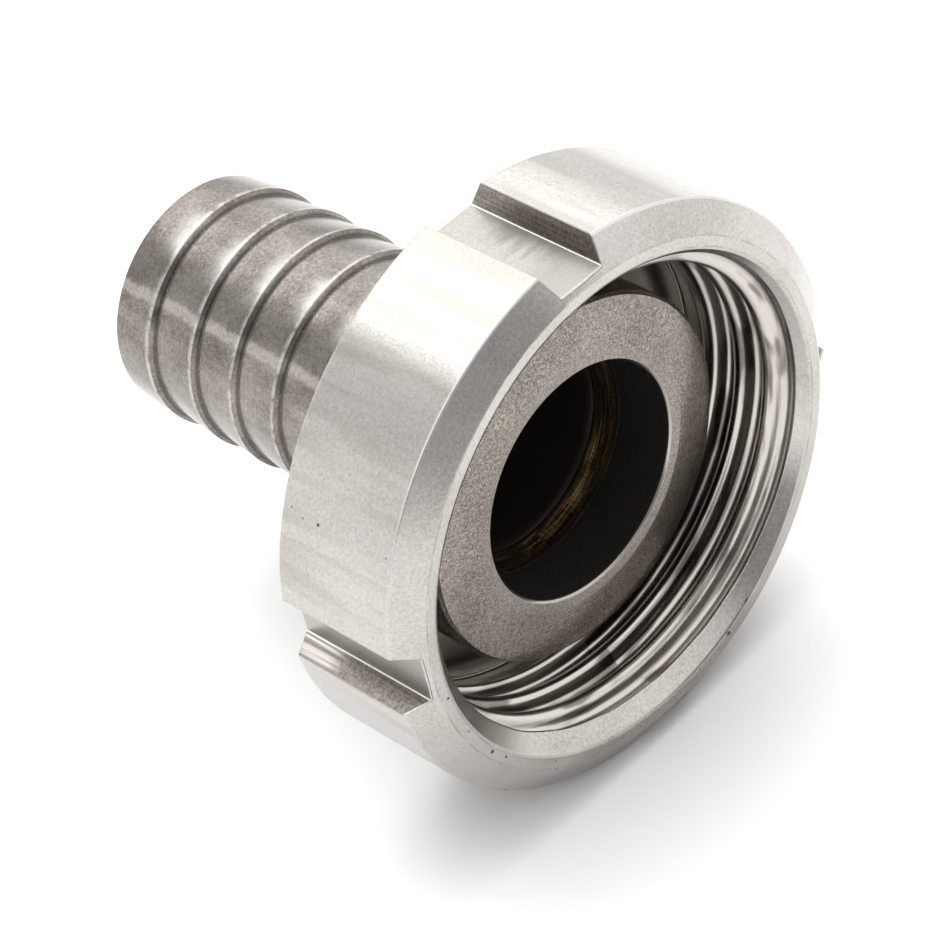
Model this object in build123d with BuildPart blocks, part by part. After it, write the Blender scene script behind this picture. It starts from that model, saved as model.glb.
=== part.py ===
from build123d import *
from math import atan2, cos, degrees, radians, sin, tan
import os

os.makedirs("parts", exist_ok=True)

# A slotted round union nut, loose on the collar of a ribbed hose tail.
# Millimetres, +Z up. The common axis lies along Y, AXIS_H above the floor, and
# the nut's open mouth faces -Y. The nut lies as it comes to rest, on the two
# edges of its lowest slot, which touch Z = 0.
# Lengths along the axis are written as s, counted out of the mouth (toward -Y)
# from the back edge of the nut's rim. Angles round the axis are counted from
# the top, counter-clockwise as seen from the mouth.

# ---- driving dimensions ----
NUT_R = 35.0             # outer radius of the nut
TAIL_END_S = -49.8       # square end of the hose tail
NUT_FRONT_S = 18.7       # flat front ring of the nut

# nut, outside
RIM_FRONT_S = 16.3       # the cylinder ends here and the front bevel starts
RING_OUT_R = 31.4        # flat front ring, outer and inner radius
RING_IN_R = 29.9
NUT_BACK_S = -1.3        # flat back of the nut, inside a shallow bevel
BACK_FLAT_R = 31.4
HOLE_R = 18.25           # hole in the back wall, lets the ribs of the tail through
HOLE_BREAK = 0.4

# nut, inside
MOUTH_TAPER = 40.0       # lead-in chamfer, degrees from the axis
CREST_R = 27.1           # round thread: crest, root and pitch
ROOT_R = 29.21
PITCH = 25.4 / 6
RELIEF_R = 28.3          # plain turned relief behind the thread
RELIEF_FRONT_S = 3.8
WALL_IN_S = 1.2          # inner face of the back wall
ROOT_ARC_R = 1.083       # round root and round crest of the thread
CREST_ARC_R = 0.936
FLANK = 15.0             # flank angle of the thread, degrees
LAND_HALF = 0.32         # half of the narrow land left on the crest
CREST_S = 13.7           # a crest lies at this s ...
CREST_PHI = -144.8       # ... at this angle
RUNOUT_PHI = 45.7        # the last groove ends at this angle

# spanner slots, straight through the rim
SLOT_COUNT = 4
SLOT_PHI = 0.0           # angle of the first slot
SLOT_FLOOR_H = 32.0      # distance of the slot's floor from the axis
SLOT_FLOOR_HALF = 3.14
SLOT_MOUTH_H = 34.75
SLOT_MOUTH_HALF = 4.2    # half width where the slot meets the rim
# height of the axis: how far below it the slot's walls meet the rim
slot_spread = (SLOT_MOUTH_HALF - SLOT_FLOOR_HALF) / (SLOT_MOUTH_H - SLOT_FLOOR_H)
lean = SLOT_FLOOR_HALF - slot_spread * SLOT_FLOOR_H
AXIS_H = (
    ((slot_spread * lean) ** 2 - (1 + slot_spread**2) * (lean**2 - NUT_R**2)) ** 0.5
    - slot_spread * lean
) / (1 + slot_spread**2)

# collar
COLLAR_BORE_R = 14.24
BORE_BREAK = 0.3
COLLAR_FACE_S = 11.4     # flat land round the bore
LAND_R = 15.9
FACE_FALL = 7.0          # outside the land the face falls back, degrees
COLLAR_R = 22.1
COLLAR_BREAK = 0.4
COLLAR_BACK_S = 1.3      # 0.1 clear of the nut's back wall
NECK_R = 17.6            # runs free in the nut's hole
NECK_BACK_S = -2.3
NECK_FILLET = 0.4

# hose tail: a tube with turned ribs, let into the collar's bore from behind
TUBE_BORE_R = 13.0
TUBE_R = 14.2
TUBE_FRONT_S = 0.8
RIB_R = 14.9
RIB_S = (-15.6, -22.5, -29.5, -36.3, -43.5)
RIB_STEP = 0.6           # axial length of the step on the nut's side of a rib
RIB_ROUND = 0.25
TAIL_END_R = 14.36
TAIL_END_BREAK = 0.25

# weld bead between the end of the tube and the collar's bore
BEAD_FRONT_S = 3.8
BEAD_HOLLOW = 0.25       # how far the bead's face is dished


def y_of(s):
    # the part is centred along its length
    return (NUT_FRONT_S + TAIL_END_S) / 2 - s


def at(s):
    return (0, y_of(s), AXIS_H)


AXIS = Axis(at(0), (0, -1, 0))
# through the axis: local x is the radius (upward), local y is s
SECTION = Plane(origin=at(0), x_dir=(0, 0, 1), z_dir=(1, 0, 0))
# across the axis: local x is up, local z is s
ACROSS = Plane(origin=at(0), x_dir=(0, 0, 1), z_dir=(0, -1, 0))

# ---- union nut ----
mouth_depth = (RING_IN_R - CREST_R) / tan(radians(MOUTH_TAPER))
nut_section = [
    (HOLE_R, NUT_BACK_S + HOLE_BREAK),
    (HOLE_R + HOLE_BREAK, NUT_BACK_S),
    (BACK_FLAT_R, NUT_BACK_S),
    (NUT_R, 0),
    (NUT_R, RIM_FRONT_S),
    (RING_OUT_R, NUT_FRONT_S),
    (RING_IN_R, NUT_FRONT_S),
    (CREST_R, NUT_FRONT_S - mouth_depth),
    (CREST_R, RELIEF_FRONT_S + RELIEF_R - CREST_R),
    (RELIEF_R, RELIEF_FRONT_S),
    (RELIEF_R, WALL_IN_S),
    (HOLE_R + HOLE_BREAK, WALL_IN_S),
    (HOLE_R, WALL_IN_S - HOLE_BREAK),
]

# groove of the round thread, seen along its run: round root, straight flanks,
# and the shoulders of the round crests on both sides
root_c = ROOT_R - ROOT_ARC_R
crest_c = CREST_R + CREST_ARC_R
half = PITCH / 2
a = radians(FLANK)
mouth_half = half - LAND_HALF
shoulder_out = (crest_c - CREST_ARC_R * sin(a), half - CREST_ARC_R * cos(a))
start_angle = radians(90) - atan2(LAND_HALF, (CREST_ARC_R**2 - LAND_HALF**2) ** 0.5)
shoulder_in = (crest_c - CREST_ARC_R * sin(start_angle), half - CREST_ARC_R * cos(start_angle))
mid = (start_angle + a) / 2
shoulder_mid = (crest_c - CREST_ARC_R * sin(mid), half - CREST_ARC_R * cos(mid))
flank_out = (root_c + ROOT_ARC_R * sin(a), ROOT_ARC_R * cos(a))
clear_r = CREST_R - 0.9

# the groove runs right-handed from inside the relief out past the mouth
groove_s = CREST_S - half + PITCH * (RUNOUT_PHI - CREST_PHI) / 360
while groove_s > RELIEF_FRONT_S + half + 1:
    groove_s -= PITCH
groove_len = NUT_FRONT_S + half + 0.6 - groove_s

with BuildPart() as union_nut:
    with BuildSketch(SECTION):
        with BuildLine():
            Polyline(*nut_section, close=True)
        make_face()
    revolve(axis=AXIS)
    # cut in runs of one turn and less, end to end
    cut_s = groove_s
    while cut_s < groove_s + groove_len - 0.01:
        run_len = min(PITCH, groove_s + groove_len - cut_s)
        with BuildLine() as thread_path:
            Helix(PITCH, run_len, CREST_R, center=at(cut_s), direction=(0, -1, 0))
        begin = thread_path.line @ 0 - Vector(*at(cut_s))
        begin_phi = degrees(atan2(-begin.X, begin.Z))
        run = thread_path.line.rotate(AXIS, RUNOUT_PHI - begin_phi)
        phi = radians(RUNOUT_PHI)
        across_groove = Plane(
            origin=at(cut_s),
            x_dir=(-sin(phi), 0, cos(phi)),
            z_dir=(cos(phi), 0, sin(phi)),
        )
        with BuildSketch(across_groove):
            with BuildLine():
                Line((clear_r, shoulder_in[1]), shoulder_in)
                ThreePointArc(shoulder_in, shoulder_mid, shoulder_out)
                Line(shoulder_out, flank_out)
                ThreePointArc(flank_out, (ROOT_R, 0), (flank_out[0], -flank_out[1]))
                Line((flank_out[0], -flank_out[1]), (shoulder_out[0], -shoulder_out[1]))
                ThreePointArc(
                    (shoulder_out[0], -shoulder_out[1]),
                    (shoulder_mid[0], -shoulder_mid[1]),
                    (shoulder_in[0], -shoulder_in[1]),
                )
                Line((shoulder_in[0], -shoulder_in[1]), (clear_r, -shoulder_in[1]))
                Line((clear_r, -shoulder_in[1]), (clear_r, shoulder_in[1]))
            make_face()
        sweep(path=run, is_frenet=True, mode=Mode.SUBTRACT)
        cut_s += run_len
    slot_top = NUT_R + 1.5
    slot_top_half = SLOT_MOUTH_HALF + slot_spread * (slot_top - SLOT_MOUTH_H)
    with BuildSketch(ACROSS.offset(NUT_BACK_S - 1)):
        with PolarLocations(0, SLOT_COUNT, start_angle=SLOT_PHI):
            Polygon(
                (SLOT_FLOOR_H, -SLOT_FLOOR_HALF),
                (slot_top, -slot_top_half),
                (slot_top, slot_top_half),
                (SLOT_FLOOR_H, SLOT_FLOOR_HALF),
                align=None,
            )
    extrude(amount=NUT_FRONT_S - NUT_BACK_S + 2, mode=Mode.SUBTRACT)
union_nut.part.label = "union_nut"
export_step(union_nut.part, "parts/union_nut.step")

# ---- collar ----
face_drop = (COLLAR_R - COLLAR_BREAK - LAND_R) * tan(radians(FACE_FALL))
collar_edge_s = COLLAR_FACE_S - face_drop
with BuildPart() as liner_collar:
    with BuildSketch(SECTION) as collar_sketch:
        with BuildLine():
            Polyline(
                (COLLAR_BORE_R, NECK_BACK_S),
                (NECK_R - 0.3, NECK_BACK_S),
                (NECK_R, NECK_BACK_S + 0.3),
                (NECK_R, COLLAR_BACK_S),
                (COLLAR_R - COLLAR_BREAK, COLLAR_BACK_S),
                (COLLAR_R, COLLAR_BACK_S + COLLAR_BREAK),
                (COLLAR_R, collar_edge_s - COLLAR_BREAK),
                (COLLAR_R - COLLAR_BREAK, collar_edge_s),
                (LAND_R, COLLAR_FACE_S),
                (COLLAR_BORE_R + BORE_BREAK, COLLAR_FACE_S),
                (COLLAR_BORE_R, COLLAR_FACE_S - BORE_BREAK),
                close=True,
            )
        make_face()
    revolve(axis=AXIS)
    fillet(
        [
            e
            for e in liner_collar.edges().filter_by(GeomType.CIRCLE)
            if abs(e.radius - NECK_R) < 0.01 and abs(e.center().Y - y_of(COLLAR_BACK_S)) < 0.01
        ],
        radius=NECK_FILLET,
    )
liner_collar.part.label = "liner_collar"
export_step(liner_collar.part, "parts/liner_collar.step")

# ---- hose tail ----
profile = [(TUBE_BORE_R, TUBE_FRONT_S), (TUBE_R, TUBE_FRONT_S)]
for s in RIB_S:
    profile += [(TUBE_R, s + RIB_STEP), (RIB_R, s)]
profile += [
    (TAIL_END_R, TAIL_END_S + TAIL_END_BREAK),
    (TAIL_END_R - TAIL_END_BREAK, TAIL_END_S),
    (TUBE_BORE_R, TAIL_END_S),
]
with BuildPart() as hose_tail:
    with BuildSketch(SECTION):
        with BuildLine():
            Polyline(*profile, close=True)
        make_face()
    revolve(axis=AXIS)
    fillet(
        [
            e
            for e in hose_tail.edges().filter_by(GeomType.CIRCLE)
            if (abs(e.radius - RIB_R) < 0.001 or abs(e.radius - TUBE_R) < 0.001)
            and e.center().Y > y_of(RIB_S[0] + RIB_STEP + 0.1)
        ],
        radius=RIB_ROUND,
    )
hose_tail.part.label = "hose_tail"
export_step(hose_tail.part, "parts/hose_tail.step")

# ---- weld bead ----
with BuildPart() as weld_bead:
    with BuildSketch(SECTION):
        with BuildLine():
            back_in = (TUBE_BORE_R, TUBE_FRONT_S)
            back_out = (COLLAR_BORE_R, TUBE_FRONT_S)
            front_out = (COLLAR_BORE_R, BEAD_FRONT_S)
            Line(back_in, back_out)
            Line(back_out, front_out)
            SagittaArc(front_out, back_in, BEAD_HOLLOW)
        make_face()
    revolve(axis=AXIS)
weld_bead.part.label = "weld_bead"
export_step(weld_bead.part, "parts/weld_bead.step")
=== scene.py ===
import math

import bpy
import numpy as np
from mathutils import Matrix, Vector


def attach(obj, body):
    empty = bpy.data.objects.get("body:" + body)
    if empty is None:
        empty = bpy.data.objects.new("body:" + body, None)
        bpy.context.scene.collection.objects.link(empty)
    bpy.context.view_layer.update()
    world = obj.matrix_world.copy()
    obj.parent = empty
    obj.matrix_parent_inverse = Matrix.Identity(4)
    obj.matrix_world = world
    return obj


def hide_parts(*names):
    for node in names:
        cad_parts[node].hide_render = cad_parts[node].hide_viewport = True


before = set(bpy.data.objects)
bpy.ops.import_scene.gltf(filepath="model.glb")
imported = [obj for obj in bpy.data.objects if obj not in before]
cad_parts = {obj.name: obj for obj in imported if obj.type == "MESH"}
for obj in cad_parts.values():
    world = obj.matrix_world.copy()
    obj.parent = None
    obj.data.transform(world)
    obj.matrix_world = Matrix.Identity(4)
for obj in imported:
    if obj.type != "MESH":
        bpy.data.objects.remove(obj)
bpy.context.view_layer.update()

# Millimetres along the axis (s) and radially (r), angles in degrees from the top,
# counter-clockwise as seen from the nut's mouth. The same sizes as the CAD part.
MID_S = (18.7 - 49.8) / 2
AXIS_H = 34.7472


def place(r, s, phi_deg):
    """Arrays of radius, s and angle to metres in the part's frame."""
    a = np.radians(phi_deg)
    return np.stack([-r * np.sin(a), np.broadcast_to(MID_S - s, np.shape(r)), AXIS_H + r * np.cos(a)], axis=-1) / 1000.0


def grid_mesh(name, points, body, node, weighted=True):
    """A closed surface from points[column, row, 3]: columns go round the axis, rows round the section."""
    ncol, nrow = points.shape[:2]
    verts = points.reshape(-1, 3)
    i, j = np.meshgrid(np.arange(ncol), np.arange(nrow), indexing="ij")
    i2, j2 = (i + 1) % ncol, (j + 1) % nrow
    faces = np.stack([i * nrow + j, i * nrow + j2, i2 * nrow + j2, i2 * nrow + j], axis=-1).reshape(-1, 4)
    mesh = bpy.data.meshes.new(name)
    mesh.vertices.add(len(verts))
    mesh.vertices.foreach_set("co", verts.astype(np.float32).ravel())
    mesh.loops.add(faces.size)
    mesh.loops.foreach_set("vertex_index", faces.astype(np.int32).ravel())
    mesh.polygons.add(len(faces))
    mesh.polygons.foreach_set("loop_start", np.arange(0, faces.size, 4, dtype=np.int32))
    mesh.polygons.foreach_set("loop_total", np.full(len(faces), 4, dtype=np.int32))
    mesh.update(calc_edges=True)
    mesh.validate()
    # outward faces: the signed volume is positive
    v = verts[faces]
    vol = np.einsum("ij,ij->i", v[:, 0], np.cross(v[:, 1], v[:, 2])).sum() + np.einsum("ij,ij->i", v[:, 0], np.cross(v[:, 2], v[:, 3])).sum()
    if vol < 0:
        mesh.flip_normals()
    mesh.polygons.foreach_set("use_smooth", np.ones(len(faces), dtype=bool))
    mesh.update()
    obj = bpy.data.objects.new(name, mesh)
    bpy.context.scene.collection.objects.link(obj)
    if weighted:
        m = obj.modifiers.new("even_shading", "WEIGHTED_NORMAL")
        m.weight = 50
    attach(obj, body)
    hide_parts(node)
    return obj


def rounded(points, radii, steps=3):
    """A closed section (r, s) with its corners rounded: one radius for each corner, 0 keeps it sharp."""
    out = []
    n = len(points)
    for k in range(n):
        p = np.array(points[k], float)
        a, b = np.array(points[k - 1], float) - p, np.array(points[(k + 1) % n], float) - p
        la, lb = np.linalg.norm(a), np.linalg.norm(b)
        a, b = a / la, b / lb
        rad = radii[k]
        half = math.acos(max(-1.0, min(1.0, float(a @ b)))) / 2
        if rad <= 0 or half > math.radians(88):
            out.append(p)
            continue
        reach = min(rad / math.tan(half), la * 0.45, lb * 0.45)
        rad = reach * math.tan(half)
        mid = (a + b) / np.linalg.norm(a + b)
        centre = p + mid * (rad / math.sin(half))
        start, end = p + a * reach - centre, p + b * reach - centre
        t0, t1 = math.atan2(start[1], start[0]), math.atan2(end[1], end[0])
        d = (t1 - t0 + math.pi) % (2 * math.pi) - math.pi
        for q in range(steps + 1):
            t = t0 + d * q / steps
            out.append(centre + rad * np.array([math.cos(t), math.sin(t)]))
    return np.array(out)


def densify(section, longest):
    """Adds points on the long runs of a closed section, so that no run is longer than this."""
    out = []
    n = len(section)
    for k in range(n):
        p, q = section[k], section[(k + 1) % n]
        m = max(1, int(math.ceil(np.linalg.norm(q - p) / longest)))
        for t in range(m):
            out.append(p + (q - p) * t / m)
    return np.array(out)


def turned(name, section, body, node, columns=360):
    phi = np.arange(columns) * 360.0 / columns
    r = np.broadcast_to(section[:, 0], (columns, len(section)))
    s = np.broadcast_to(section[:, 1], (columns, len(section)))
    return grid_mesh(name, place(r, s, phi[:, None]), body, node)


# ---------------------------------------------------------------- union nut
PITCH = 25.4 / 6
SLOT_PHI = 0.0


def soft_min(a, b, k):
    h = np.maximum(k - np.abs(a - b), 0.0) / k
    return np.minimum(a, b) - h * h * k / 4


def soft_max(a, b, k):
    return -soft_min(-a, -b, k)


def slot_radius(delta_deg):
    """Distance from the axis to the slot's floor or wall at this angle from the slot's middle, with the rim."""
    d = np.radians(np.abs(delta_deg))
    floor = 32.0 / np.cos(d)
    lean = (4.2 - 3.14) / (34.75 - 32.0)
    room = lean * np.cos(d) - np.sin(d)
    wall = np.where(room > 0.02, (lean * 32.0 - 3.14) / np.maximum(room, 0.02), 500.0)
    cut = np.where(np.abs(delta_deg) < 4.5, floor, soft_max(floor, np.minimum(wall, 60.0), 0.10))
    return soft_min(np.full_like(cut, 35.0), cut, 0.22)


def thread_radius(s, phi):
    """Round thread, right-hand: a crest lies at s = 13.7 where the angle is -144.8."""
    crest = 13.7 + PITCH * (phi + 144.8) / 360.0
    u = np.abs((s - crest + PITCH / 2) % PITCH - PITCH / 2)      # distance from the nearest crest, 0 to half a pitch
    half = PITCH / 2
    cr, rr = 0.936, 1.083
    crest_c, root_c = 27.1 + cr, 29.21 - rr
    a = math.radians(15)
    u1, u2 = cr * math.cos(a), half - rr * math.cos(a)
    r1, r2 = crest_c - cr * math.sin(a), root_c + rr * math.sin(a)
    on_crest = crest_c - np.sqrt(np.maximum(cr * cr - u * u, 0))
    on_root = root_c + np.sqrt(np.maximum(rr * rr - (half - u) ** 2, 0))
    on_flank = r1 + (r2 - r1) * (u - u1) / (u2 - u1)
    return np.where(u < u1, on_crest, np.where(u > u2, on_root, on_flank)), crest


def nut_columns():
    lug = np.arange(8.0, 82.01, 74.0 / 70)
    near = [0.0, 1.0, 2.0, 3.0, 4.0, 4.8, 5.2, 5.36, 5.46, 5.54, 5.6, 5.66, 5.74, 5.86, 6.05, 6.25, 6.45, 6.6, 6.7, 6.77, 6.83, 6.88, 6.93, 6.99, 7.07, 7.2, 7.5]
    one = np.array(sorted([-x for x in near if x] + near + list(lug)))
    cols = np.concatenate([SLOT_PHI + 90.0 * k + one for k in range(4)])
    delta = np.concatenate([one for k in range(4)])
    delta = np.where(delta > 45, delta - 90, delta)
    return cols, delta


def build_nut():
    phi, delta = nut_columns()
    edge = slot_radius(delta)                     # outer radius of each column
    n = len(phi)
    tan_f, tan_b = 2.4 / 3.6, 1.3 / 3.6
    rows_r, rows_s = [], []

    def add(r, s):
        rows_r.append(np.broadcast_to(np.asarray(r, float), (n,)).copy())
        rows_s.append(np.broadcast_to(np.asarray(s, float), (n,)).copy())

    # the flat front ring, from inside out, then the front bevel, the rim, the back bevel and the back
    add(30.02, 18.7 - 0.06)
    add(30.12, 18.7)
    for r in (30.3, 30.7, 31.0, 31.2, 31.32):
        add(r, 18.7)
    add(31.42, 18.7 - 0.035)
    for f in (0.06, 0.25, 0.5, 0.75, 0.9):
        r = 31.4 + (edge - 31.4) * f
        add(r, 18.7 - (r - 31.4) * tan_f)
    sf, sb = 18.7 - (edge - 31.4) * tan_f, -(35.0 - edge) * tan_b
    br = 0.16
    for t in (0.0, 0.33, 0.67, 1.0):              # rounded edge between bevel and rim
        add(edge - br * 0.9 * (1 - t) ** 2, sf + br * 0.6 * (1 - t) ** 2 - br * 1.2 * t ** 2)
    for f in (0.03, 0.1, 0.2, 0.3, 0.4, 0.5, 0.6, 0.7, 0.8, 0.9, 0.97):
        add(edge, (sf - br * 1.2) + (sb + br - (sf - br * 1.2)) * f)
    for t in (0.0, 0.33, 0.67, 1.0):
        add(edge - br * 0.9 * t ** 2, sb + br * (1 - t) ** 2 - br * 0.33 * t ** 2)
    for f in (0.9, 0.6, 0.3, 0.06):
        r = 31.4 + (edge - 0.15 - 31.4) * f
        add(r, -(35.0 - r) * tan_b)
    add(31.3, -1.3)
    for r in (29.0, 25.0, 21.0, 19.0, 18.72):
        add(r, -1.3)
    add(18.62, -1.27)
    add(18.28, -0.93)
    add(18.25, -0.85)
    for s in (-0.4, 0.3, 0.75):
        add(18.25, s)
    add(18.3, 0.85)
    add(18.6, 1.15)
    for r in (18.75, 21.0, 24.0, 26.5, 27.8, 28.1):
        add(r, 1.2)
    add(28.25, 1.25)
    add(28.3, 1.4)
    # relief, thread and mouth: even steps, with the thread and the lead-in chamfer laid over the bore
    tan_m = math.tan(math.radians(40))
    for s in np.arange(1.7, 18.66, 0.148):
        base = np.where(s < 3.8, 28.3, np.where(s < 5.0, 28.3 - (s - 3.8), 27.1)) * np.ones(n)
        t, crest = thread_radius(s, phi)
        # the last groove ends in the relief
        groove_mid = crest + (np.floor((s - crest) / PITCH) + 0.5) * PITCH
        live = np.clip((groove_mid - 5.2) / 0.5, 0, 1)
        t = 27.1 + (t - 27.1) * live
        mouth = 29.9 - (18.7 - s) * tan_m
        r = soft_max(soft_max(base, t, 0.06), mouth, 0.12)
        add(r, s)
    points = place(np.array(rows_r).T, np.array(rows_s).T, phi[:, None])
    return grid_mesh("nut_body", points, "nut", "union_nut")


nut = build_nut()

# ---------------------------------------------------------------- collar, tail and weld
face_drop = (22.1 - 0.4 - 15.9) * math.tan(math.radians(7.0))
edge_s = 11.4 - face_drop
collar_pts = [(14.24, -2.3), (17.3, -2.3), (17.6, -2.0), (17.6, 1.3), (21.7, 1.3), (22.1, 1.7), (22.1, edge_s - 0.4), (21.7, edge_s), (15.9, 11.4), (14.54, 11.4), (14.24, 11.1)]
collar_round = [0.05, 0.08, 0.08, 0.4, 0.08, 0.08, 0.08, 0.10, 0.5, 0.06, 0.06]
collar = turned("collar_body", densify(rounded(collar_pts, collar_round), 1.2), "tail", "liner_collar")

tail_pts, tail_round = [(13.0, 0.8), (14.2, 0.8)], [0.0, 0.0]
for s in (-15.6, -22.5, -29.5, -36.3, -43.5):
    tail_pts += [(14.2, s + 0.6), (14.9, s)]
    tail_round += [0.28, 0.28]
tail_pts += [(14.36, -49.55), (14.11, -49.8), (13.0, -49.8)]
tail_round += [0.08, 0.08, 0.1]
tail = turned("tail_tube", densify(rounded(tail_pts, tail_round, 4), 1.5), "tail", "hose_tail")


def build_bead():
    """Weld run between the tube's end and the collar's bore: overlapping ripples, slightly uneven."""
    cols, rows = 720, 14
    rng = np.random.default_rng(7)
    phi = np.arange(cols) * 0.5
    a = np.radians(phi)
    wobble = sum(rng.normal(0, 0.05) * np.sin(k * a + rng.uniform(0, 6.28)) for k in range(2, 14))
    ripples = np.abs(((phi * 0.42 + 3 * np.sin(a * 3) + 5 * wobble) % 1.0) - 0.5) * 2
    f = np.linspace(0, 1, rows)
    # the face of the bead from the collar's bore back to the tube's bore
    front_r, front_s, back_r, back_s = 14.24, 3.8, 13.0, 0.8
    r = np.empty((cols, rows + 2))
    s = np.empty((cols, rows + 2))
    for j, t in enumerate(f):
        dish = 4 * t * (1 - t)
        lift = dish * (-0.10 - 0.10 * ripples + 0.12 * wobble)
        r[:, j] = front_r + (back_r - front_r) * t - lift * 0.9
        s[:, j] = front_s + (back_s - front_s) * t - lift * 0.43 + 0.18 * wobble * (1 - t)
    r[:, rows], s[:, rows] = 13.5, 0.805
    r[:, rows + 1], s[:, rows + 1] = 14.235, 0.81
    return grid_mesh("weld_run", place(r, s, phi[:, None]), "tail", "weld_bead", weighted=False)


bead = build_bead()


# ---------------------------------------------------------------- materials
class Nodes:
    def __init__(self, name):
        self.mat = bpy.data.materials.new(name)
        self.mat.use_nodes = True
        self.t = self.mat.node_tree
        self.bsdf = self.t.nodes["Principled BSDF"]

    def new(self, kind, **inputs):
        n = self.t.nodes.new(kind)
        return n

    def link(self, a, b):
        self.t.links.new(a, b)

    def noise(self, vec, scale, detail=2.0, rough=0.5):
        n = self.t.nodes.new("ShaderNodeTexNoise")
        n.inputs["Scale"].default_value = scale
        n.inputs["Detail"].default_value = detail
        n.inputs["Roughness"].default_value = rough
        self.link(vec, n.inputs["Vector"])
        return n.outputs["Fac"]

    def mapping(self, vec, scale=(1, 1, 1), loc=(0, 0, 0)):
        n = self.t.nodes.new("ShaderNodeMapping")
        n.inputs["Scale"].default_value = scale
        n.inputs["Location"].default_value = loc
        self.link(vec, n.inputs["Vector"])
        return n.outputs["Vector"]

    def math(self, op, a, b=None, c=None, clamp=False):
        n = self.t.nodes.new("ShaderNodeMath")
        n.operation = op
        n.use_clamp = clamp
        for k, v in enumerate((a, b, c)):
            if v is None:
                continue
            if isinstance(v, (int, float)):
                n.inputs[k].default_value = v
            else:
                self.link(v, n.inputs[k])
        return n.outputs[0]

    def ramp(self, fac, stops):
        n = self.t.nodes.new("ShaderNodeValToRGB")
        while len(n.color_ramp.elements) < len(stops):
            n.color_ramp.elements.new(0.5)
        for e, (pos, col) in zip(n.color_ramp.elements, stops):
            e.position = pos
            e.color = (*col, 1.0) if len(col) == 3 else col
        self.link(fac, n.inputs["Fac"])
        return n.outputs["Color"]

    def mix(self, fac, a, b):
        n = self.t.nodes.new("ShaderNodeMix")
        n.data_type = "RGBA"
        if isinstance(fac, (int, float)):
            n.inputs["Factor"].default_value = fac
        else:
            self.link(fac, n.inputs["Factor"])
        for key, v in (("A", a), ("B", b)):
            sock = [i for i in n.inputs if i.name == key and i.type == "RGBA"][0]
            if isinstance(v, tuple):
                sock.default_value = (*v, 1.0)
            else:
                self.link(v, sock)
        return [o for o in n.outputs if o.type == "RGBA"][0]

    def bump(self, height, distance, strength=1.0):
        n = self.t.nodes.new("ShaderNodeBump")
        n.inputs["Distance"].default_value = distance
        n.inputs["Strength"].default_value = strength
        self.link(height, n.inputs["Height"])
        self.link(n.outputs["Normal"], self.bsdf.inputs["Normal"])

    def coords(self):
        """Object coordinates, with the axis moved to the origin: x, y along the axis, z."""
        tc = self.t.nodes.new("ShaderNodeTexCoord")
        return self.mapping(tc.outputs["Object"], loc=(0, 0, -AXIS_H / 1000))

    def polar(self, vec):
        """Radius in metres, angle in turns and y."""
        sep = self.t.nodes.new("ShaderNodeSeparateXYZ")
        self.link(vec, sep.inputs[0])
        x, y, z = sep.outputs
        rad = self.math("SQRT", self.math("ADD", self.math("MULTIPLY", x, x), self.math("MULTIPLY", z, z)))
        ang = self.math("DIVIDE", self.math("ARCTAN2", self.math("MULTIPLY", x, -1.0), z), 2 * math.pi)
        return rad, ang, y

    def vec(self, x, y, z):
        n = self.t.nodes.new("ShaderNodeCombineXYZ")
        for k, v in enumerate((x, y, z)):
            if isinstance(v, (int, float)):
                n.inputs[k].default_value = v
            else:
                self.link(v, n.inputs[k])
        return n.outputs[0]


def step(m, value, lo_edge, hi_edge):
    """0 below lo_edge, 1 above hi_edge, smooth between; swap the edges for the opposite."""
    n = m.t.nodes.new("ShaderNodeMapRange")
    n.interpolation_type = "SMOOTHSTEP"
    if lo_edge < hi_edge:
        n.inputs["From Min"].default_value, n.inputs["From Max"].default_value = lo_edge, hi_edge
    else:
        n.inputs["From Min"].default_value, n.inputs["From Max"].default_value = hi_edge, lo_edge
        n.inputs["To Min"].default_value, n.inputs["To Max"].default_value = 1.0, 0.0
    m.link(value, n.inputs["Value"])
    return n.outputs["Result"]


def y_at(s):
    return (MID_S - s) / 1000.0


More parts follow.
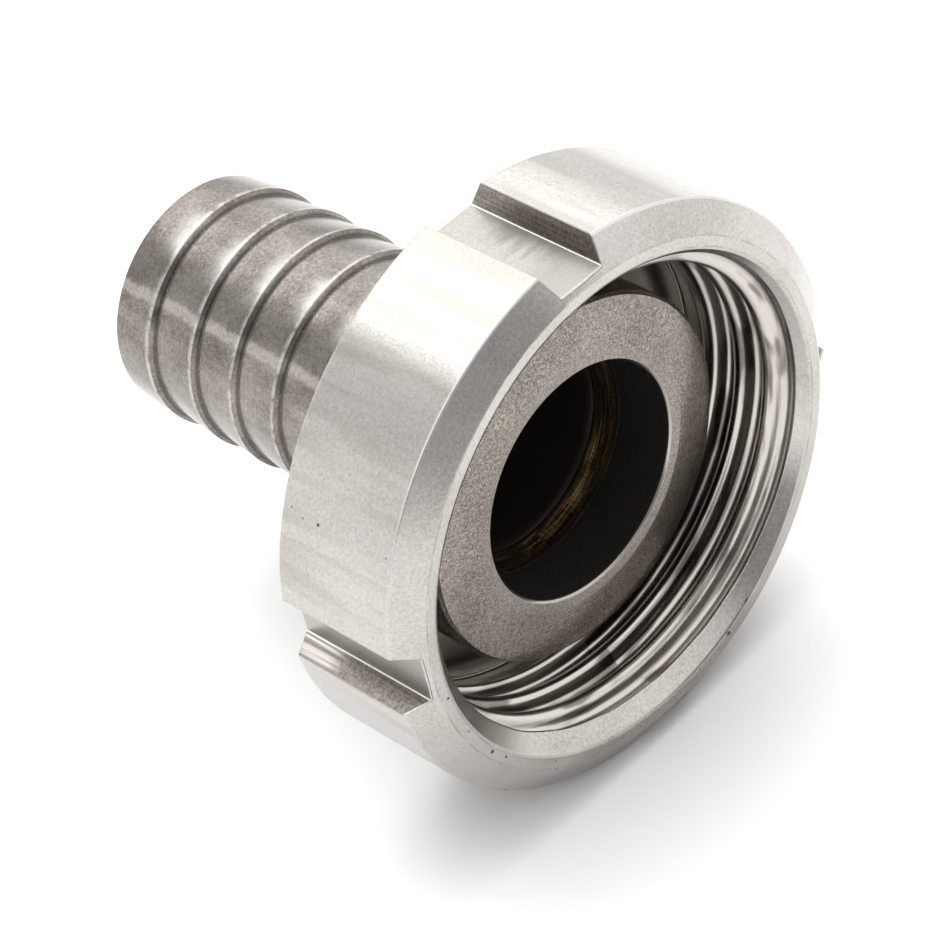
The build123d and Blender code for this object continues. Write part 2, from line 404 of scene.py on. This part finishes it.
def nut_steel():
    m = Nodes("nut_satin_steel")
    m.bsdf.inputs["Metallic"].default_value = 1.0
    p = m.coords()
    rad, ang, y = m.polar(p)
    sep = m.t.nodes.new("ShaderNodeSeparateXYZ")
    m.link(p, sep.inputs[0])
    x, _, z = sep.outputs
    ax, az = m.math("ABSOLUTE", x), m.math("ABSOLUTE", z)
    # where the slots are milled: within 4.6 mm of a slot's middle, below the rim and behind the front bevel
    in_x = m.math("MULTIPLY", step(m, ax, 0.0046, 0.0043), step(m, az, 0.0316, 0.0317))
    in_z = m.math("MULTIPLY", step(m, az, 0.0046, 0.0043), step(m, ax, 0.0316, 0.0317))
    behind = step(m, m.math("MULTIPLY_ADD", rad, -0.6667, y), y_at(18.50) - 0.0314 * 0.6667, y_at(18.42) - 0.0314 * 0.6667)
    ahead = step(m, m.math("MULTIPLY_ADD", rad, 0.3611, y), y_at(0.03) + 0.0350 * 0.3611, y_at(0.10) + 0.0350 * 0.3611)
    keep = m.math("MULTIPLY", m.math("MULTIPLY", step(m, rad, 0.03490, 0.03482), ahead), behind)
    slot = m.math("MULTIPLY", m.math("MAXIMUM", in_x, in_z), keep)
    depth = m.math("MAXIMUM", ax, az)                    # distance of the floor or wall from the middle plane
    across = m.math("MINIMUM", ax, az)
    wall = m.math("MULTIPLY", slot, step(m, depth, 0.03203, 0.03212))
    floor_m = m.math("SUBTRACT", slot, wall, clamp=True)
    wall_foot_painted_highlight = m.math("MULTIPLY", slot, m.math("MULTIPLY", step(m, depth, 0.03216, 0.03208), step(m, across, 0.00302, 0.00308)))
    inside = m.math("MULTIPLY", step(m, rad, 0.0299, 0.0297), m.math("MULTIPLY", step(m, y, y_at(18.6), y_at(18.4)), step(m, y, y_at(-1.22), y_at(-1.10))))
    rim = m.math("MULTIPLY", step(m, rad, 0.03488, 0.03494), step(m, y, y_at(16.5), y_at(16.3)))

    grain = m.noise(p, 8200.0, 2.0, 0.7)
    speck = m.noise(p, 2600.0, 2.0, 0.6)
    cloud = m.noise(m.mapping(p, scale=(1.0, 0.35, 1.0)), 95.0, 3.0, 0.55)
    turning = m.noise(m.vec(rad, y, m.math("MULTIPLY", ang, 0.0025)), 6500.0, 2.0, 0.6)
    milling = m.noise(m.vec(x, m.math("MULTIPLY", y, 0.012), z), 3600.0, 2.0, 0.6)

    tone = m.math("ADD", m.math("MULTIPLY", grain, 0.45), m.math("MULTIPLY", speck, 0.30))
    tone = m.math("ADD", tone, m.math("MULTIPLY", cloud, 0.25))
    col = m.ramp(tone, [(0.36, (0.335, 0.316, 0.290)), (0.50, (0.485, 0.468, 0.440)), (0.62, (0.570, 0.560, 0.535))])
    # handling marks: soft brownish streaks along the axis on the rim
    streaks = m.noise(m.mapping(p, scale=(1.0, 0.10, 1.0)), 330.0, 2.0, 0.5)
    col = m.mix(m.math("MULTIPLY", m.math("MULTIPLY", step(m, streaks, 0.48, 0.68), rim), 0.50), col, (0.33, 0.30, 0.26))
    # walls inside: darker and warmer, a painted shade over all but the lead-in chamfer; the turned thread is bright
    # where it isn't smeared
    lead_in = step(m, y, y_at(15.7), y_at(16.3))
    thread = m.math("MULTIPLY", m.math("MULTIPLY", inside, step(m, y, y_at(4.4), y_at(5.4))), m.math("SUBTRACT", 1.0, lead_in))
    inside_painted_shade = m.math("MULTIPLY", inside, m.math("MULTIPLY_ADD", lead_in, -0.55, 0.58))
    col = m.mix(inside_painted_shade, col, (0.265, 0.232, 0.205))
    col = m.mix(m.math("MULTIPLY", thread, 0.85), col, (0.60, 0.565, 0.53))
    smear = m.noise(m.vec(m.math("MULTIPLY", rad, 0.4), m.math("MULTIPLY", y, 0.7), m.math("MULTIPLY", ang, 0.016)), 1000.0, 2.0, 0.6)
    col = m.mix(m.math("MULTIPLY", inside, m.math("MULTIPLY", m.math("MULTIPLY", step(m, smear, 0.48, 0.62), step(m, y, y_at(1.4), y_at(2.2))), m.math("MULTIPLY_ADD", lead_in, -0.70, 0.78))), col, (0.110, 0.090, 0.075))
    # milled slots: a light floor, darker towards the front and in a patch in its middle, darker walls with cutter lines
    # at the back
    patch = m.math("MULTIPLY", step(m, y, y_at(17.0), y_at(11.0)), step(m, y, y_at(0.5), y_at(5.0)))
    feather = m.noise(m.mapping(p, scale=(0.28, 1.0, 1.0)), 620.0, 3.0, 0.6)
    patch = m.math("MULTIPLY", patch, step(m, m.math("MULTIPLY_ADD", feather, 0.9, m.math("MULTIPLY", x, 75.0)), 0.30, 0.72))
    floor_c = m.mix(m.math("MULTIPLY", patch, 0.62), m.mix(m.math("MULTIPLY_ADD", step(m, y, y_at(9.0), y_at(14.0)), 0.26, 0.45), col, (0.27, 0.255, 0.235)), (0.135, 0.120, 0.108))
    lines = m.ramp(milling, [(0.40, (0.150, 0.130, 0.112)), (0.50, (0.26, 0.24, 0.215)), (0.60, (0.52, 0.50, 0.47))])
    grit = m.ramp(m.math("ADD", m.math("MULTIPLY", speck, 0.5), m.math("MULTIPLY", grain, 0.5)), [(0.38, (0.070, 0.058, 0.048)), (0.60, (0.235, 0.210, 0.185))])
    back = m.math("MULTIPLY", step(m, y, y_at(6.5), y_at(3.5)), m.math("MULTIPLY_ADD", in_z, 0.85, 0.05))
    wall_c = m.mix(back, m.mix(m.math("MULTIPLY_ADD", in_z, -0.08, 0.16), grit, lines), lines)
    col = m.mix(m.math("MULTIPLY", floor_m, 0.95), col, floor_c)
    col = m.mix(m.math("MULTIPLY", wall, 0.92), col, wall_c)
    # a near-white line along the foot of each slot wall is a painted highlight on the fillet
    col = m.mix(m.math("MULTIPLY", wall_foot_painted_highlight, 0.9), col, (0.85, 0.84, 0.82))
    # the turned edge between rim and front bevel is painted bright, more on the top side: a painted highlight
    edge = m.math("MULTIPLY", step(m, rad, 0.03470, 0.03480), m.math("MULTIPLY", step(m, y, y_at(16.62), y_at(16.50)), step(m, y, y_at(16.02), y_at(16.14))))
    col = m.mix(m.math("MULTIPLY", edge, m.math("MULTIPLY_ADD", step(m, z, 0.018, 0.026), 0.35, 0.15)), col, (0.78, 0.77, 0.75))
    # thin dark lines at both edges of the flat ring
    lines_r = m.math("MAXIMUM", m.math("MULTIPLY", step(m, rad, 0.03128, 0.03136), step(m, rad, 0.03152, 0.03144)),
                     m.math("MULTIPLY", step(m, rad, 0.03002, 0.03008), step(m, rad, 0.03026, 0.03018)))
    lines_r = m.math("MULTIPLY", lines_r, step(m, y, y_at(18.35), y_at(18.5)))
    col = m.mix(m.math("MULTIPLY", m.math("MULTIPLY", lines_r, 0.50), step(m, m.noise(p, 330.0, 3.0, 0.7), 0.36, 0.62)), col, (0.22, 0.185, 0.155))
    # the low side of the bevel and rim is painted darker with coarse specks, most near the bottom: painted shade
    # standing for the shadowed floor it reflects
    low_side_painted_shade = m.math("MULTIPLY", step(m, z, -0.004, -0.022), m.math("SUBTRACT", 1.0, inside))
    specks = step(m, m.math("ADD", m.math("MULTIPLY", grain, 0.6), m.math("MULTIPLY", speck, 0.4)), 0.52, 0.62)
    low_side_painted_shade = m.math("MAXIMUM", low_side_painted_shade, m.math("MULTIPLY", m.math("MULTIPLY", step(m, z, -0.0235, -0.0290), m.math("SUBTRACT", 1.0, inside)), 2.2))
    col = m.mix(m.math("MULTIPLY", low_side_painted_shade, m.math("MULTIPLY_ADD", specks, 0.36, 0.18), clamp=True), col, (0.150, 0.130, 0.110))
    # small dark pits, mostly low on the front bevel and here and there on the rim
    pits = m.t.nodes.new("ShaderNodeTexVoronoi")
    pits.feature = "F1"
    pits.inputs["Scale"].default_value = 520.0
    m.link(p, pits.inputs["Vector"])
    rare = m.noise(m.mapping(p, loc=(0.011, 0.004, 0.007)), 240.0, 1.0, 0.5)
    low = step(m, z, -0.006, -0.020)
    where = m.math("MULTIPLY", step(m, y, y_at(14.5), y_at(16.5)), low)
    gate = m.math("SUBTRACT", m.math("MULTIPLY_ADD", where, 0.145, rare), 0.70, clamp=True)
    pit = m.math("GREATER_THAN", m.math("SUBTRACT", m.math("MULTIPLY", gate, 1.6), pits.outputs["Distance"]), 0.0)
    pit = m.math("MULTIPLY", pit, m.math("SUBTRACT", 1.0, inside))
    # single pits, as radius, s and angle, with their size in mm
    for r, s, phi, size in ((30.5, 18.7, 97.5, 0.22), (30.5, 18.7, 110.0, 0.16), (30.6, 18.7, 121.0, 0.30), (30.5, 18.7, 126.2, 0.20), (30.4, 18.7, 143.5, 0.15),
                            (35.0, 5.4, 63.7, 0.24), (35.0, 1.3, 63.0, 0.16), (35.0, 3.1, 64.0, 0.14), (35.0, 15.5, 63.0, 0.14)):
        a = math.radians(phi)
        far = m.t.nodes.new("ShaderNodeVectorMath")
        far.operation = "DISTANCE"
        far.inputs[1].default_value = (-r * math.sin(a) / 1000, y_at(s), r * math.cos(a) / 1000)
        m.link(p, far.inputs[0])
        spot = step(m, m.math("MULTIPLY_ADD", speck, 0.00012, far.outputs["Value"]), size / 1000 + 0.00006, size / 1000)
        pit = m.math("MAXIMUM", pit, spot)
    col = m.mix(m.math("MULTIPLY", pit, 0.85), col, (0.04, 0.03, 0.025))
    m.link(col, m.bsdf.inputs["Base Color"])

    rough = m.math("MULTIPLY_ADD", cloud, 0.10, 0.150)
    rough = m.math("MULTIPLY_ADD", slot, 0.10, rough)
    rough = m.math("MULTIPLY_ADD", inside, 0.015, rough)
    rough = m.math("MULTIPLY_ADD", grain, 0.05, rough, clamp=True)
    m.link(rough, m.bsdf.inputs["Roughness"])

    outside = m.math("MULTIPLY_ADD", inside, -0.75, 1.0)
    h = m.math("MULTIPLY", grain, 0.0000030)
    h = m.math("MULTIPLY_ADD", speck, 0.000006, h)
    h = m.math("MULTIPLY_ADD", turning, 0.000003, h)
    h = m.math("MULTIPLY", h, outside)
    h = m.math("MULTIPLY_ADD", m.math("MULTIPLY", milling, wall), 0.000014, h)
    h = m.math("MULTIPLY_ADD", pit, -0.00003, h)
    m.bump(h, 1.0)
    return m.mat


def collar_steel():
    m = Nodes("collar_blasted_steel")
    m.bsdf.inputs["Metallic"].default_value = 1.0
    p = m.coords()
    rad, ang, y = m.polar(p)
    grain = m.noise(p, 7600.0, 2.0, 0.75)
    speck = m.noise(p, 2600.0, 2.0, 0.6)
    cloud = m.noise(p, 110.0, 2.0, 0.5)
    tone = m.math("ADD", m.math("MULTIPLY", grain, 0.62), m.math("MULTIPLY", speck, 0.26))
    tone = m.math("ADD", tone, m.math("MULTIPLY", cloud, 0.12))
    col = m.ramp(tone, [(0.36, (0.050, 0.040, 0.032)), (0.50, (0.215, 0.190, 0.166)), (0.63, (0.450, 0.410, 0.372))])
    # the land round the bore and the edges are rubbed bright
    land = m.math("MULTIPLY", step(m, rad, 0.0162, 0.0157), step(m, y, y_at(11.0), y_at(11.25)))
    col = m.mix(m.math("MULTIPLY", land, 0.15), col, (0.26, 0.24, 0.22))
    lip = m.math("MULTIPLY", step(m, rad, 0.01462, 0.01454), step(m, y, y_at(11.0), y_at(11.15)))
    col = m.mix(m.math("MULTIPLY", lip, 0.7), col, (0.46, 0.44, 0.41))
    # the bore is painted near-black and dull: painted shade down the tube
    bore_painted_shade = m.math("MULTIPLY", step(m, rad, 0.01436, 0.01430), step(m, y, y_at(11.28), y_at(11.18)))
    col = m.mix(m.math("MULTIPLY", bore_painted_shade, 0.98), col, (0.014, 0.014, 0.013))
    m.link(col, m.bsdf.inputs["Base Color"])
    m.link(m.math("MULTIPLY_ADD", bore_painted_shade, -0.95, 1.0), m.bsdf.inputs["Metallic"])
    m.bsdf.inputs["Specular IOR Level"].default_value = 0.12
    rough = m.math("MULTIPLY_ADD", grain, 0.10, 0.12)
    rough = m.math("MULTIPLY_ADD", land, -0.02, rough)
    rough = m.math("MULTIPLY_ADD", bore_painted_shade, 0.10, rough, clamp=True)
    m.link(rough, m.bsdf.inputs["Roughness"])
    h = m.math("MULTIPLY", grain, 0.000008)
    h = m.math("MULTIPLY_ADD", speck, 0.000012, h)
    h = m.math("MULTIPLY", h, m.math("MULTIPLY_ADD", land, -0.3, 1.0))
    m.bump(h, 1.0)
    return m.mat


def tail_steel():
    m = Nodes("tail_drawn_steel")
    m.bsdf.inputs["Metallic"].default_value = 1.0
    p = m.coords()
    rad, ang, y = m.polar(p)
    grain = m.noise(p, 7600.0, 2.0, 0.75)
    speck = m.noise(p, 2200.0, 2.0, 0.6)
    cloud = m.noise(m.mapping(p, scale=(1.0, 0.5, 1.0)), 210.0, 3.0, 0.6)
    turning = m.noise(m.vec(rad, y, m.math("MULTIPLY", ang, 0.002)), 5200.0, 2.0, 0.6)
    tone = m.math("ADD", m.math("MULTIPLY", grain, 0.42), m.math("MULTIPLY", speck, 0.26))
    tone = m.math("ADD", tone, m.math("MULTIPLY", cloud, 0.32))
    col = m.ramp(tone, [(0.38, (0.095, 0.079, 0.068)), (0.50, (0.215, 0.193, 0.173)), (0.62, (0.345, 0.322, 0.298))])
    # a painted reflection along the tube, of a strip light: a narrow lighter band with a darker one beside it
    wander = m.math("MULTIPLY_ADD", m.noise(m.vec(0.0, y, 0.0), 260.0, 3.0, 0.6), 0.012, ang)
    from_reflection = m.math("SUBTRACT", wander, 50.1 / 360.0 + 0.006)
    strip_light_reflection = step(m, m.math("ABSOLUTE", from_reflection), 0.0115, 0.0035)
    dark_reflection_band = m.math("MULTIPLY", step(m, from_reflection, -0.080, -0.040), step(m, from_reflection, -0.006, -0.016))
    col = m.mix(m.math("MULTIPLY", dark_reflection_band, 0.34), col, (0.105, 0.094, 0.086))
    col = m.mix(m.math("MULTIPLY", strip_light_reflection, m.math("MULTIPLY_ADD", speck, 0.8, 0.20, clamp=True)), col, (0.44, 0.415, 0.375))
    # the crests of the ribs are painted lighter in a broken line; the dark band on the steep face behind each of them,
    # down into its corner, is painted shade
    crest = m.math("MULTIPLY", step(m, rad, 0.01482, 0.01488), step(m, m.noise(p, 700.0, 2.0, 0.6), 0.30, 0.60))
    col = m.mix(m.math("MULTIPLY", crest, 0.8), col, (0.50, 0.49, 0.47))
    # a painted highlight on the flanks by the crests, on the upper side only, patchy
    upper = m.math("MULTIPLY", step(m, ang, 0.000, 0.030), step(m, ang, 0.105, 0.060))
    painted_crest_highlight = m.math("MULTIPLY", m.math("MULTIPLY", step(m, rad, 0.01458, 0.01486), upper), m.math("MULTIPLY_ADD", cloud, 1.1, -0.05, clamp=True))
    col = m.mix(painted_crest_highlight, col, (0.52, 0.51, 0.49))
    painted_step_shade = None
    for s in (-15.6, -22.5, -29.5, -36.3, -43.5):
        near = m.math("MULTIPLY", step(m, y, y_at(s + 0.95), y_at(s + 0.66)), step(m, y, y_at(s + 0.28), y_at(s + 0.46)))
        painted_step_shade = near if painted_step_shade is None else m.math("MAXIMUM", painted_step_shade, near)
    painted_step_shade = m.math("MULTIPLY", painted_step_shade, step(m, speck, 0.30, 0.46))
    col = m.mix(m.math("MULTIPLY", painted_step_shade, 0.72), col, (0.050, 0.042, 0.036))
    # the tube's bore is painted near-black and dull: painted shade down the tube
    bore_painted_shade = step(m, rad, 0.0134, 0.0131)
    col = m.mix(m.math("MULTIPLY", bore_painted_shade, 0.98), col, (0.012, 0.009, 0.006))
    m.link(col, m.bsdf.inputs["Base Color"])
    m.link(m.math("MULTIPLY_ADD", bore_painted_shade, -0.95, 1.0), m.bsdf.inputs["Metallic"])
    m.bsdf.inputs["Specular IOR Level"].default_value = 0.12
    rough = m.math("MULTIPLY_ADD", cloud, 0.12, 0.14)
    rough = m.math("MULTIPLY_ADD", bore_painted_shade, 0.15, rough, clamp=True)
    m.link(rough, m.bsdf.inputs["Roughness"])
    h = m.math("MULTIPLY", grain, 0.000005)
    h = m.math("MULTIPLY_ADD", speck, 0.000009, h)
    h = m.math("MULTIPLY_ADD", cloud, 0.000030, h)
    h = m.math("MULTIPLY_ADD", turning, 0.000005, h)
    m.bump(h, 1.0)
    return m.mat


def weld_steel():
    """Straw, brown and purple tint in fine runs along the bead, dull at both borders."""
    m = Nodes("weld_tinted_steel")
    m.bsdf.inputs["Specular IOR Level"].default_value = 0.12
    p = m.coords()
    rad, ang, y = m.polar(p)
    runs = m.noise(m.vec(rad, m.math("MULTIPLY", y, 0.6), m.math("MULTIPLY", ang, 0.0032)), 7000.0, 2.0, 0.6)
    broad = m.noise(m.vec(rad, m.math("MULTIPLY", y, 0.6), m.math("MULTIPLY", ang, 0.010)), 1500.0, 2.0, 0.5)
    cloud = m.noise(p, 120.0, 1.0, 0.5)
    tone = m.math("ADD", m.math("MULTIPLY", runs, 0.55), m.math("MULTIPLY", broad, 0.45))
    col = m.ramp(tone, [(0.38, (0.010, 0.007, 0.006)), (0.50, (0.060, 0.036, 0.014)), (0.58, (0.24, 0.145, 0.050)), (0.68, (0.36, 0.30, 0.22))])
    middle = m.math("MULTIPLY", step(m, rad, 0.01305, 0.01345), step(m, rad, 0.01418, 0.01375))
    live = m.math("MULTIPLY", middle, step(m, cloud, 0.42, 0.66))
    col = m.mix(m.math("MULTIPLY_ADD", live, 0.92, 0.06, clamp=True), (0.010, 0.008, 0.006), col)
    m.link(col, m.bsdf.inputs["Base Color"])
    m.link(m.math("MULTIPLY_ADD", live, 0.85, 0.10), m.bsdf.inputs["Metallic"])
    m.link(m.math("MULTIPLY_ADD", runs, 0.15, 0.20, clamp=True), m.bsdf.inputs["Roughness"])
    m.bump(m.math("MULTIPLY", runs, 0.00002), 1.0)
    return m.mat


nut_mat, collar_mat, tail_mat, bead_mat = nut_steel(), collar_steel(), tail_steel(), weld_steel()
for obj, mat in ((nut, nut_mat), (collar, collar_mat), (tail, tail_mat), (bead, bead_mat)):
    obj.data.materials.clear()
    obj.data.materials.append(mat)

# ---------------------------------------------------------------- floor, light, camera
floor_mesh = bpy.data.meshes.new("floor")
floor_mesh.from_pydata([(-3, -3, 0), (3, -3, 0), (3, 3, 0), (-3, 3, 0)], [], [(0, 1, 2, 3)])
floor = bpy.data.objects.new("floor", floor_mesh)
bpy.context.scene.collection.objects.link(floor)
fm = bpy.data.materials.new("pale_floor")
fm.use_nodes = True
fb = fm.node_tree.nodes["Principled BSDF"]
fb.inputs["Base Color"].default_value = (0.79, 0.79, 0.79, 1)
fb.inputs["Roughness"].default_value = 0.8
fb.inputs["Specular IOR Level"].default_value = 0.1
floor_mesh.materials.append(fm)


def area(name, loc, target, size, power, size_y=None, color=(1, 1, 1)):
    data = bpy.data.lights.new(name, "AREA")
    data.shape = "RECTANGLE"
    data.size = size
    data.size_y = size_y or size
    data.energy = power
    data.color = color
    o = bpy.data.objects.new(name, data)
    bpy.context.scene.collection.objects.link(o)
    o.location = loc
    o.rotation_mode = "QUATERNION"
    o.rotation_quaternion = (Vector(target) - Vector(loc)).to_track_quat("-Z", "Y")
    return o


key = area("key", (0.11, 0.10, 0.74), (0, 0, 0.03), 0.75, 4.2)
key.visible_glossy = False

# The studio round the part: a white surround, a soft box overhead towards the tail,
# a darker gap under it and the dark side of the room in front and to the left of the mouth.
# Directions are in the part's frame.
world = bpy.data.worlds.new("studio")
bpy.context.scene.world = world
world.use_nodes = True
wt = world.node_tree
bg = wt.nodes["Background"]
wtc = wt.nodes.new("ShaderNodeTexCoord")


def w_math(op, a, b=None, c=None, clamp=False):
    n = wt.nodes.new("ShaderNodeMath")
    n.operation = op
    n.use_clamp = clamp
    for k, v in enumerate((a, b, c)):
        if v is None:
            continue
        if isinstance(v, (int, float)):
            n.inputs[k].default_value = v
        else:
            wt.links.new(v, n.inputs[k])
    return n.outputs[0]


def w_dot(direction):
    n = wt.nodes.new("ShaderNodeVectorMath")
    n.operation = "DOT_PRODUCT"
    n.inputs[1].default_value = Vector(direction).normalized()
    wt.links.new(wtc.outputs["Generated"], n.inputs[0])
    return n.outputs["Value"]


def w_step(value, lo_edge, hi_edge):
    n = wt.nodes.new("ShaderNodeMapRange")
    n.interpolation_type = "SMOOTHSTEP"
    n.inputs["From Min"].default_value = lo_edge
    n.inputs["From Max"].default_value = hi_edge
    wt.links.new(value, n.inputs["Value"])
    return n.outputs["Result"]


def w_lobe(direction, inner, outer):
    """1 within inner degrees of a direction, 0 beyond outer degrees."""
    return w_step(w_dot(direction), math.cos(math.radians(outer)), math.cos(math.radians(inner)))


soft_box = w_lobe((0.05, 0.50, 0.86), 20, 25)
side_box = w_math("MULTIPLY", w_lobe((0.52, 0.58, 0.62), 14, 32), 0.6)
gap = w_math("MULTIPLY", w_lobe((-0.539, 0.601, 0.59), 4, 20), 0.36)
dark_side = w_math("MULTIPLY", w_lobe((-0.006, -0.968, 0.251), 8, 38), 0.64)
dark_left = w_math("MULTIPLY", w_lobe((-0.54, -0.72, 0.42), 15, 33), 0.70)
level = w_math("MULTIPLY_ADD", w_math("MAXIMUM", soft_box, side_box), 1.35, 1.32)
level = w_math("MULTIPLY", level, w_math("SUBTRACT", 1.0, gap))
level = w_math("MULTIPLY", level, w_math("SUBTRACT", 1.0, w_math("MAXIMUM", dark_side, dark_left)))
bg.inputs["Color"].default_value = (1, 1, 1, 1)
wt.links.new(level, bg.inputs["Strength"])

cam_data = bpy.data.cameras.new("camera")
cam_data.sensor_width = 36.0
cam_data.lens = 4255.48 * 36.0 / 940.0
cam_data.clip_start = 0.01
cam_data.clip_end = 20.0
cam = bpy.data.objects.new("camera", cam_data)
bpy.context.scene.collection.objects.link(cam)
right = Vector((0.68058, -0.71182, -0.17358)).normalized()
fwd = Vector((0.45470, 0.59611, -0.66174)).normalized()
up = right.cross(fwd).normalized()
right = fwd.cross(up).normalized()
rot = Matrix((right, up, -fwd)).transposed().to_4x4()
cam.matrix_world = Matrix.Translation(Vector((-0.220392, -0.296540, 0.347418))) @ rot
bpy.context.scene.camera = cam

scene = bpy.context.scene
scene.view_settings.view_transform = "Standard"
scene.view_settings.look = "None"
